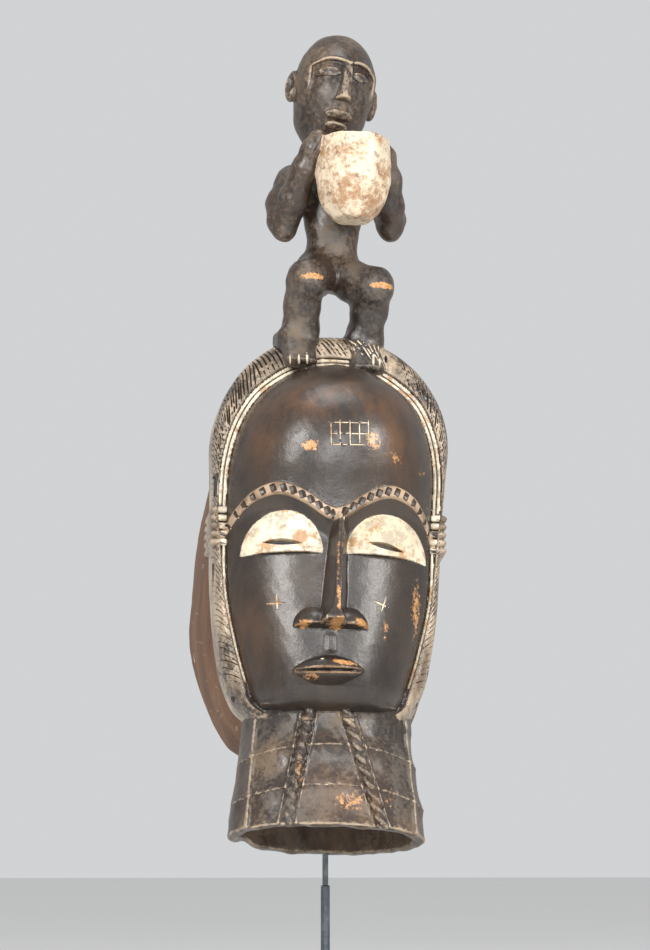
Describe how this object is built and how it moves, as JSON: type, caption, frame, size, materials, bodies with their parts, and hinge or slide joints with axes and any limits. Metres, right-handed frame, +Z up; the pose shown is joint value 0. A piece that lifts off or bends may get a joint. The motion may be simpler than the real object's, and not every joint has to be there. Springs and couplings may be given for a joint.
{
  "type": "carved mask on a display stand",
  "caption": "Carved wooden face mask with a squatting crest figure drinking from a cup, hollow behind, on a steel rod stand with a plate foot.",
  "frame": {"origin": "centre of the stand plate's underside, on the axis of the rod", "axes": "+Z up along the rod, the mask's face looks along -Y, +X is to the right of someone who looks at the face"},
  "size_m": [0.1554, 0.1916, 0.6154],
  "materials": {
    "wood": "dark patina, semi-gloss, with white pigment and worn golden edges",
    "rod_steel": "blued steel",
    "base_steel": "satin black"
  },
  "bodies": {
    "root": {"mask": "wood", "stand_rod": "rod_steel", "stand_tube": "rod_steel", "stand_base": "base_steel"}
  },
  "joints": []
}
